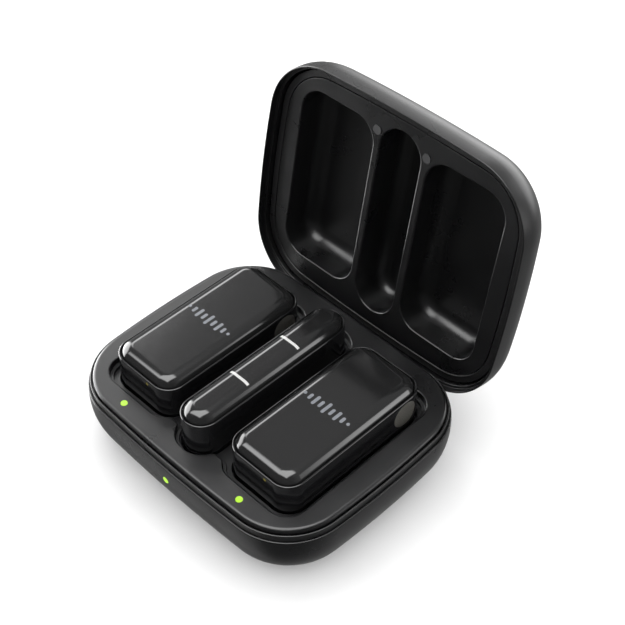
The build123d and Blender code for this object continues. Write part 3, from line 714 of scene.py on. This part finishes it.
def bay_opening(inset):
    """The three bays merged into one scalloped outline, drawn in by inset."""
    bay_x = 20.85                    # middle of a transmitter's bay
    bay_y = 19.6                     # its corners' centres, at bay_in from its middle
    bay_r = 5.6
    bay_in = 6.85
    slot_y = 20.4                    # centre of the round end of the receiver's bay
    slot_r = 6.8
    bridge_y = 22.9                  # end of the wall between two bays, a nose with this radius
    nose_r = 1.0
    nose_y = bridge_y + nose_r
    outer_c = (bay_x + bay_in, bay_y)
    inner_c = (bay_x - bay_in, bay_y)
    outer_nose = (inner_c[0] - math.sqrt((bay_r + nose_r)**2 - (nose_y - bay_y)**2), nose_y)
    slot_nose = (math.sqrt((slot_r + nose_r)**2 - (nose_y - slot_y)**2), nose_y)
    bay_meets = math.atan2(nose_y - bay_y, outer_nose[0] - inner_c[0])
    slot_meets = math.atan2(nose_y - slot_y, slot_nose[0])
    half_turn = math.pi / 2
    quarter = [(bay_x + bay_in + bay_r - inset, 0)]
    quarter += arc(outer_c, bay_r - inset, 0, half_turn, 12)
    quarter += arc(inner_c, bay_r - inset, half_turn, bay_meets, 8)
    quarter += arc(outer_nose, nose_r + inset, bay_meets - math.pi, -half_turn, 6)[1:]
    quarter += arc(slot_nose, nose_r + inset, -half_turn, slot_meets - math.pi, 8)
    quarter += arc((0, slot_y), slot_r - inset, slot_meets, half_turn, 10)[1:]
    return shifted(four_quarters(quarter), 0, UNIT_Y)


def led_hole(skin, name):
    """The hole of one deck light; returns its rim and its lower end."""
    led = middle(f"{name}_deck_led")
    return skin.wall(swept(lambda o: shifted(circle(DECK_LED_HOLE_R + o), led.x, led.y), [
        (0.15, DECK_TOP, 0), (0, DECK_TOP, 0.12), (0, DECK_UNDER, 0)]))


def unit_socket(skin, half_w, half_l, radius, x, y):
    """The recess that a unit stands in; returns its rim and the edge of its floor."""
    size = (half_w + SOCKET_GAP, half_l + SOCKET_GAP, radius + SOCKET_GAP)
    return skin.wall(swept(lambda o: shifted(box_ring(*(value - o for value in size)), x, y), [
        (-0.14, WELL_FLOOR, 0), (0, WELL_FLOOR, 0.12), (0, SOCKET_FLOOR, 0.3), (0.4, SOCKET_FLOOR, 0)]))


def clip_relief(skin, x):
    """The pocket for a clip; returns its rim and the top of its outside under the tray."""
    ring_of = lambda o: shifted(box_ring(RELIEF_HALF_W - o, RELIEF_HALF_L - o, RELIEF_R), x, RELIEF_Y)
    rim, floor_edge = skin.wall(swept(ring_of, [
        (-0.2, SOCKET_FLOOR, 0), (0, SOCKET_FLOOR, 0.18), (0, RELIEF_FLOOR, 0.6), (0.8, RELIEF_FLOOR, 0)]))
    skin.fill(floor_edge)
    size = (value + RELIEF_WALL for value in (RELIEF_HALF_W, RELIEF_HALF_L, RELIEF_R))
    outside = shifted(box_ring(*size), x, RELIEF_Y)
    top, bottom = skin.wall([level(outside, WELL_UNDER), level(outside, RELIEF_UNDER)])
    skin.fill(bottom)
    return rim, top


def pin_holes(skin, x):
    """Two holes for the spring contacts; returns their upper and their lower ends."""
    ends = []
    for pin_x in (x - CONTACT_X, x + CONTACT_X):
        hole = shifted(circle(PIN_HOLE_R), pin_x, CONTACT_Y)
        ends.append(skin.wall([level(hole, SOCKET_FLOOR), level(hole, WELL_UNDER)]))
    return zip(*ends)


def deck_tray():
    skin = Skin()
    under, rim = skin.wall(swept(case_ring, [
        (-DECK_GAP, DECK_UNDER, 0), (-DECK_GAP, DECK_TOP, DECK_EDGE_R), (-DECK_GAP - 1.1, DECK_TOP, 0),
    ], steps=8))
    mouth, well_edge = skin.wall(swept(bay_opening, [
        (-0.4, DECK_TOP, 0), (0, DECK_TOP, MOUTH_R), (0, LEDGE, 0.15), (LEDGE_W, LEDGE, 0.15),
        (LEDGE_W, WELL_FLOOR, 0.08), (LEDGE_W + 0.1, WELL_FLOOR, 0),
    ]))
    deck_holes = [mouth]
    well_holes = []
    under_holes = []
    bottom_holes = []
    for name, side in SIDES:
        x = side * TX_X
        top, bottom = led_hole(skin, name)
        deck_holes.append(top)
        under_holes.append(bottom)
        socket, socket_floor = unit_socket(skin, TX_HW, TX_HL, TX_R, x, TX_Y)
        well_holes.append(socket)
        relief, relief_top = clip_relief(skin, x)
        pin_tops, pin_bottoms = pin_holes(skin, x)
        skin.fill(socket_floor, relief, *pin_tops)
        bottom_holes += [*pin_bottoms, relief_top]
    socket, socket_floor = unit_socket(skin, RX_HW, RX_HL, RX_HW, 0, UNIT_Y)
    well_holes.append(socket)
    plug = shifted(box_ring(PLUG_HALF_W, PLUG_HALF_L, PLUG_HALF_W), 0, UNIT_Y)
    top, bottom = skin.wall([level(plug, SOCKET_FLOOR), level(plug, WELL_UNDER)])
    skin.fill(socket_floor, top)
    bottom_holes.append(bottom)
    skin.fill(rim, *deck_holes)
    skin.fill(well_edge, *well_holes)
    block = shifted(box_ring(WELL_HALF_W, WELL_HALF_L, WELL_R), 0, UNIT_Y)
    top, bottom = skin.wall([level(block, DECK_UNDER), level(block, WELL_UNDER)])
    skin.fill(under, top, *under_holes)
    skin.fill(bottom, *bottom_holes)
    tray = skin.to_object("case_deck_moulding")
    carve_swing_room(tray)
    return tray


dress(case_shell(), MATERIALS["case_shell"], "case", ["case_bottom_shell"])
dress(case_lip(), MATERIALS["case_lip"], "case", ["case_lip_ring"])
dress(deck_tray(), MATERIALS["deck"], "case", ["case_deck_tray"])


# ---- lid -----------------------------------------------------------------------------------
def lid_shell():
    edge = SKIN - RIM_IN
    height = LID_TOP - LID_WIDEST
    skin = Skin()
    outer = pillow_rings(reversed(curve_levels(LID_WIDEST, height, LID_INSET, LID_SHAPE, 1)))
    inner = pillow_rings(curve_levels(LID_WIDEST, height - LID_WALL, LID_INSET, LID_SHAPE, 1), LID_WALL)
    rim = swept(case_ring, [
        (SKIN - 0.02, (LID_RIM + LID_WIDEST) / 2, 0), (edge, LID_RIM, RIM_R), (LID_STEP_OUT, LID_RIM, 0.1),
        (LID_STEP_OUT, LID_STEP, 0.1), (edge - LID_WALL, LID_STEP, 0.12),
        (edge - LID_WALL, LID_WIDEST - 0.05, 0),
    ])
    first, last = skin.wall(outer + rim + inner)
    skin.fill(first)
    skin.fill(last)
    shell = skin.to_object("lid_shell_moulding")
    notch_half = NOTCH_HALF - LID_NOTCH_GAP
    notch = Skin()
    notch.block((-notch_half, BACK_CUT_Y, LID_RIM - 1), (notch_half, BEYOND, LID_STEP))
    carve(shell, notch)
    swing_open(shell)
    return shell


def lid_ring():
    """Its section starts and ends at a seam in the ring's face."""
    seam = (RING_OUT + RING_IN) / 2
    skin = Skin()
    skin.closed_wall(swept(case_ring, [
        (seam, RING_FACE, 0), (RING_OUT, RING_FACE, 0.2), (RING_OUT, RING_BACK, 0),
        (RING_IN, RING_BACK, 0), (RING_IN, RING_FACE, 0.2), (seam - 0.01, RING_FACE, 0),
    ]))
    ring = skin.to_object("lid_ring_moulding")
    swing_open(ring)
    return ring


def lid_pocket(skin, x, half_w, half_l, top, floor_r):
    """A pocket and the dome behind it; returns the pocket's mouth and the dome's foot."""
    ring_of = lambda o: shifted(box_ring(half_w - o, half_l - o, POCKET_R - o), x, UNIT_Y)
    mouth, floor_edge = skin.wall(swept(ring_of, [
        (-0.4, LINER_FACE, 0), (0, LINER_FACE, MOUTH_R), (0, top, floor_r), (floor_r + 0.2, top, 0),
    ], steps=9))
    skin.fill(floor_edge)
    dome_half_w = half_w + DOME_WALL
    dome_half_l = half_l + DOME_WALL
    dome_top = top + DOME_WALL
    crown_r = floor_r + DOME_WALL
    ring_of = lambda o: shifted(box_ring(dome_half_w - o, dome_half_l - o, DOME_R - o), x, UNIT_Y)
    foot, crown = skin.wall(swept(ring_of, [
        (0, LINER_BACK, 0), (0, dome_top, crown_r), (crown_r + 0.2, dome_top, 0)], steps=8))
    skin.fill(crown)
    return mouth, foot


def bumper_seat(skin, x):
    """A shallow round seat in the liner's face; returns its mouth."""
    mouth, floor_edge = skin.wall(swept(lambda o: shifted(circle(BUMPER_R - o), x, BUMPER_Y), [
        (-0.15, LINER_FACE, 0), (0, LINER_FACE, 0.12), (0, LINER_FACE + BUMPER_SEAT, 0)]))
    skin.fill(floor_edge)
    return mouth


def lid_liner():
    """The liner's face with its three pockets, and the domes that they form behind it."""
    skin = Skin()
    back, face = skin.wall(swept(case_ring, [
        (LINER_OUT, LINER_BACK, 0), (LINER_OUT, LINER_FACE, LINER_R), (LINER_OUT - 0.3, LINER_FACE, 0)]))
    tx_pocket = (POCKET_HALF_W, POCKET_HALF_L, POCKET_TOP, POCKET_FLOOR_R)
    rx_pocket = (RX_POCKET_HALF_W, RX_POCKET_HALF_L, RX_POCKET_TOP, RX_POCKET_FLOOR_R)
    pockets = [lid_pocket(skin, side * TX_X, *tx_pocket) for _, side in SIDES]
    pockets.append(lid_pocket(skin, 0, *rx_pocket))
    mouths, feet = zip(*pockets)
    seats = [bumper_seat(skin, side * BUMPER_X) for _, side in SIDES]
    skin.fill(face, *mouths, *seats)
    skin.fill(back, *feet)
    liner = skin.to_object("lid_liner_moulding")
    swing_open(liner)
    return liner


dress(lid_shell(), MATERIALS["case_shell"], "lid", ["lid_outer_shell"])
dress(lid_ring(), MATERIALS["case_lip"], "lid", ["lid_inner_ring"])
dress(lid_liner(), MATERIALS["deck"], "lid", [
    "lid_liner", "lid_left_pocket", "lid_right_pocket", "lid_receiver_pocket"])


# ---- transmitters --------------------------------------------------------------------------
def hollow_body(name, ring_of, rim_z, bottom_r, wall, seat_z):
    """A cup with a stepped rim that a cover sits in."""
    floor_z = TX_BOTTOM + FLOOR_WALL
    skin = Skin()
    bottom, inside = skin.wall(swept(ring_of, [
        (-bottom_r - 0.2, TX_BOTTOM, 0), (0, TX_BOTTOM, bottom_r), (0, rim_z, 0.27),
        (-RIM_LIP, rim_z, 0.08), (-RIM_LIP, seat_z, 0), (-wall, seat_z, 0), (-wall, floor_z, 0),
    ], steps=6))
    skin.fill(bottom)
    skin.fill(inside)
    return skin.to_object(name)


def capped_cover(name, ring_of, low_z, top_z, edge_r, roof):
    """A cover with a flat top, a rounded edge and a hollow underside."""
    skin = Skin()
    crown, inside = skin.wall(swept(ring_of, [
        (-edge_r - 0.25, top_z, 0), (0, top_z, edge_r), (0, low_z, 0), (-COVER_WALL, low_z, 0),
        (-COVER_WALL, top_z - roof, 0.3), (-COVER_WALL - 0.8, top_z - roof, 0),
    ], steps=12))
    skin.fill(crown)
    skin.fill(inside)
    return skin.to_object(name)


def clip_ears(x):
    """Two lugs under the body that hold the clip's pin."""
    ears = Skin()
    for ear_x in (x - CLIP_EAR_X, x + CLIP_EAR_X):
        low = ear_x - CLIP_EAR_HALF
        high = ear_x + CLIP_EAR_HALF
        ears.rod_x(low, high, CLIP_PIN_Y, CLIP_PIN_Z, CLIP_EAR_R)
        ears.block((low, CLIP_PIN_Y - CLIP_EAR_REACH, CLIP_PIN_Z),
                   (high, CLIP_PIN_Y + CLIP_EAR_REACH, TX_BOTTOM + 0.3))
    return ears


def body_details(shell, x):
    """Status light hole, seat of the port cover, contact recesses and clip ears."""
    front = TX_Y - TX_HL
    seat_x = x + TX_HW - PORT_SEAT
    cuts = Skin()
    cuts.rod_y(x + STATUS_LED.x - TX_X, STATUS_LED.z, front - 1, front + 1, STATUS_HOLE_R, STATUS_HOLE_R)
    cuts.rod_x(seat_x, seat_x + 3, PORT_COVER.y, PORT_COVER.z, PORT_COVER_R + 0.05, 96)
    carve(shell, cuts)
    recesses = Skin()
    for contact_x in (x - CONTACT_X, x + CONTACT_X):
        rim = shifted(circle(CONTACT_R), contact_x, CONTACT_Y)
        recesses.prism([level(rim, TX_BOTTOM - 0.6), level(rim, TX_BOTTOM + CONTACT_DEPTH)])
    carve(shell, recesses)
    weld_on(shell, clip_ears(x))


def port_cover(name, x):
    """A thin disc that follows the side wall round the corner, with a softened edge."""
    corner_y = TX_Y + TX_HL - TX_R
    skin = Skin()

    def bent(radius, depth):
        points = []
        for y, z in shifted(circle(radius, 16), PORT_COVER.y, PORT_COVER.z):
            bend = TX_R - math.sqrt(TX_R**2 - max(0, y - corner_y)**2)
            points.append((x + TX_HW - bend - depth, y, z))
        return points

    edge = [
        (PORT_COVER_R, 0.12), (PORT_COVER_R, 0.06),
        (PORT_COVER_R - 0.05, 0.02), (PORT_COVER_R - 0.14, 0.0),
    ]
    steps = [(PORT_COVER_R * (8 - i) / 9, 0.0) for i in range(8)]
    skin.prism([bent(radius, depth) for radius, depth in edge + steps])
    return skin.to_object(f"{name}_port_cover_disc")


def transmitter(name, side):
    x = side * TX_X
    body = f"{name}_transmitter"
    outline = lambda o: shifted(box_ring(TX_HW + o, TX_HL + o, TX_R + o, UNIT_STEPS), x, TX_Y)
    shell = hollow_body(f"{name}_body_moulding", outline, TX_RIM, TX_BOTTOM_R, 1.0, TX_SEAT)
    body_details(shell, x)
    dress(shell, MATERIALS["gloss_body"], body, [f"{name}_body_shell"])
    inner_outline = lambda o: outline(o - RIM_LIP - COVER_GAP)
    cover = capped_cover(f"{name}_cover_moulding", inner_outline, TX_SEAT + 0.05, TX_TOP, TX_CROWN_R, 1.0)
    dress(cover, MATERIALS["smoked_cover"], body, [f"{name}_top_cover"])
    disc = port_cover(name, x)
    dress(disc, MATERIALS["port_mesh"], body, [f"{name}_port_cover"])


for side_name, side_sign in SIDES:
    transmitter(side_name, side_sign)


# ---- receiver ------------------------------------------------------------------------------
def receiver():
    outline = lambda o: shifted(box_ring(RX_HW + o, RX_HL + o, RX_HW + o, UNIT_STEPS + 2), 0, UNIT_Y)
    shell = hollow_body("receiver_body_moulding", outline, RX_RIM, RX_BOTTOM_R, 0.9, RX_SEAT)
    dress(shell, MATERIALS["gloss_body"], "receiver", ["receiver_body_shell"])
    inner_outline = lambda o: outline(o - RIM_LIP - COVER_GAP)
    cover = capped_cover("receiver_cover_moulding", inner_outline, RX_SEAT + 0.1, RX_TOP, RX_CROWN_R, 1.7)
    slots = Skin()
    for y in (UNIT_Y - LIGHT_BAR_Y, UNIT_Y + LIGHT_BAR_Y):
        slots.block((-LIGHT_BAR_HALF_W, y - LIGHT_BAR_HALF_L, LIGHT_BAR_LOW),
                    (LIGHT_BAR_HALF_W, y + LIGHT_BAR_HALF_L, RX_TOP + 1))
    carve(cover, slots)
    dress(cover, MATERIALS["smoked_cover"], "receiver", ["receiver_top_cover"])


receiver()


# ---- studio --------------------------------------------------------------------------------
def floor():
    """White paper that only matt surfaces and the camera see."""
    reach = 3.0
    mesh = bpy.data.meshes.new("floor")
    corners = [(-reach, -reach, 0), (reach, -reach, 0), (reach, reach, 0), (-reach, reach, 0)]
    mesh.from_pydata(corners, [], [(0, 1, 2, 3)])
    obj = bpy.data.objects.new("floor", mesh)
    bpy.context.scene.collection.objects.link(obj)
    n = Nodes("floor_paper")
    paper = n.blend(n.spread(n.noise(40), 0, 1), (0.86, 0.86, 0.86), (0.90, 0.90, 0.90))
    n.link(paper, n.shader.inputs["Base Color"])
    n.shader.inputs["Roughness"].default_value = 0.9
    n.shader.inputs["Specular IOR Level"].default_value = 0.1
    mesh.materials.append(n.material)
    obj.visible_glossy = False


def key_softbox():
    """A softbox high up at the back left, for matt surfaces; it isn't seen in the shiny ones."""
    place = Vector((-0.45, 0.35, 0.9))
    target = Vector((0, 0, 0.02))
    light = bpy.data.lights.new("key_softbox", "AREA")
    light.shape = "RECTANGLE"
    light.size = 0.9
    light.size_y = 0.9
    light.energy = 4.0
    obj = bpy.data.objects.new("key_softbox", light)
    obj.location = place
    obj.rotation_euler = (target - place).to_track_quat("-Z", "Y").to_euler()
    obj.visible_glossy = False
    bpy.context.scene.collection.objects.link(obj)


def camera():
    """Looks down at 45 degrees over the front right corner."""
    lens = bpy.data.cameras.new("camera")
    lens.lens = 77.54
    lens.sensor_width = 36.0
    lens.clip_start = 0.01
    obj = bpy.data.objects.new("camera", lens)
    obj.location = (0.16443, -0.14882, 0.26658)
    obj.rotation_euler = (math.radians(45), 0, math.radians(45))
    bpy.context.scene.collection.objects.link(obj)
    bpy.context.scene.camera = obj


class Surroundings:
    """What shiny surfaces reflect: softboxes described by the directions they cover."""

    def __init__(self, tree):
        self.tree = tree
        self.direction = tree.nodes.new("ShaderNodeTexCoord").outputs["Generated"]
        split = tree.nodes.new("ShaderNodeSeparateXYZ")
        tree.links.new(self.direction, split.inputs["Vector"])
        self.axes = split.outputs

    def ramp(self, value, start, stop, low, high):
        """Goes smoothly from low to high while the value goes from start to stop."""
        node = self.tree.nodes.new("ShaderNodeMapRange")
        node.interpolation_type = "SMOOTHSTEP"
        for key, number in (("From Min", start), ("From Max", stop), ("To Min", low), ("To Max", high)):
            node.inputs[key].default_value = number
        self.tree.links.new(value, node.inputs["Value"])
        return node.outputs["Result"]

    def combine(self, operation, *values):
        """One sum or product of them all; any of them after the first may be a plain number."""
        total = values[0]
        for value in values[1:]:
            node = self.tree.nodes.new("ShaderNodeMath")
            node.operation = operation
            self.tree.links.new(total, node.inputs[0])
            if isinstance(value, float):
                node.inputs[1].default_value = value
            else:
                self.tree.links.new(value, node.inputs[1])
            total = node.outputs["Value"]
        return total

    def below(self, slope, limit, edge):
        """One on this side of a slanted plane and zero past it; the step fades over twice edge."""
        node = self.tree.nodes.new("ShaderNodeVectorMath")
        node.operation = "DOT_PRODUCT"
        node.inputs[1].default_value = slope
        self.tree.links.new(self.direction, node.inputs[0])
        return self.ramp(node.outputs["Value"], limit - edge, limit + edge, 1, 0)

    def panel(self, strength, edge, **limits):
        """A softbox between the given limits of each axis; its rim fades over twice edge."""
        sides = []
        for axis, (start, stop) in limits.items():
            sides.append(self.ramp(self.axes[axis], start - edge, start + edge, 0, 1))
            sides.append(self.ramp(self.axes[axis], stop - edge, stop + edge, 1, 0))
        return self.combine("MULTIPLY", *sides, strength)


def studio_walls():
    """A white tent for matt surfaces; what shines sees softboxes in a dim room instead."""
    tent = 1.45
    world = bpy.data.worlds.new("studio")
    world.use_nodes = True
    tree = world.node_tree
    room = Surroundings(tree)
    to_back = room.ramp(room.axes["Y"], -0.5, 0.5, 0.22, 0.9)
    walls = room.combine("MULTIPLY", to_back, room.ramp(room.axes["Z"], -0.4, 0.2, 0.4, 0.6))
    ceiling = room.panel(8.0, 0.08, X=(-0.62, 0.36), Y=(-0.60, 0.33), Z=(0.45, 2))
    ceiling = room.combine("MULTIPLY", ceiling, room.below((-2.5, 1, 0), 1.07, 0.15))
    left = room.panel(9.5, 0.06, X=(-2, -0.74), Y=(-0.62, 0.28), Z=(-0.60, 0.64))
    left_back = room.panel(8.0, 0.04, X=(-0.75, -0.60), Y=(0.28, 0.62), Z=(0.40, 0.75))
    right = room.panel(5.5, 0.04, X=(0.70, 2), Y=(0.45, 0.62), Z=(-0.10, 0.50))
    behind = room.panel(3.0, 0.15, X=(-0.55, 0.40), Y=(0.70, 2), Z=(-0.20, 0.45))
    table_glow = room.panel(0.45, 0.15, X=(-0.95, -0.05), Y=(-0.95, -0.20), Z=(-1.5, -0.50))
    seen = room.combine("ADD", walls, ceiling, left, left_back, right, behind, table_glow)
    path = tree.nodes.new("ShaderNodeLightPath")
    strength = tree.nodes.new("ShaderNodeMix")
    strength.data_type = "FLOAT"
    strength.inputs["A"].default_value = tent
    tree.links.new(path.outputs["Is Glossy Ray"], strength.inputs["Factor"])
    tree.links.new(seen, strength.inputs["B"])
    back = tree.nodes["Background"]
    tree.links.new(strength.outputs["Result"], back.inputs["Strength"])
    back.inputs["Color"].default_value = (1, 1, 1, 1)
    world.cycles.sampling_method = "NONE"
    bpy.context.scene.world = world


floor()
camera()
studio_walls()
key_softbox()
bpy.context.scene.view_settings.view_transform = "Standard"
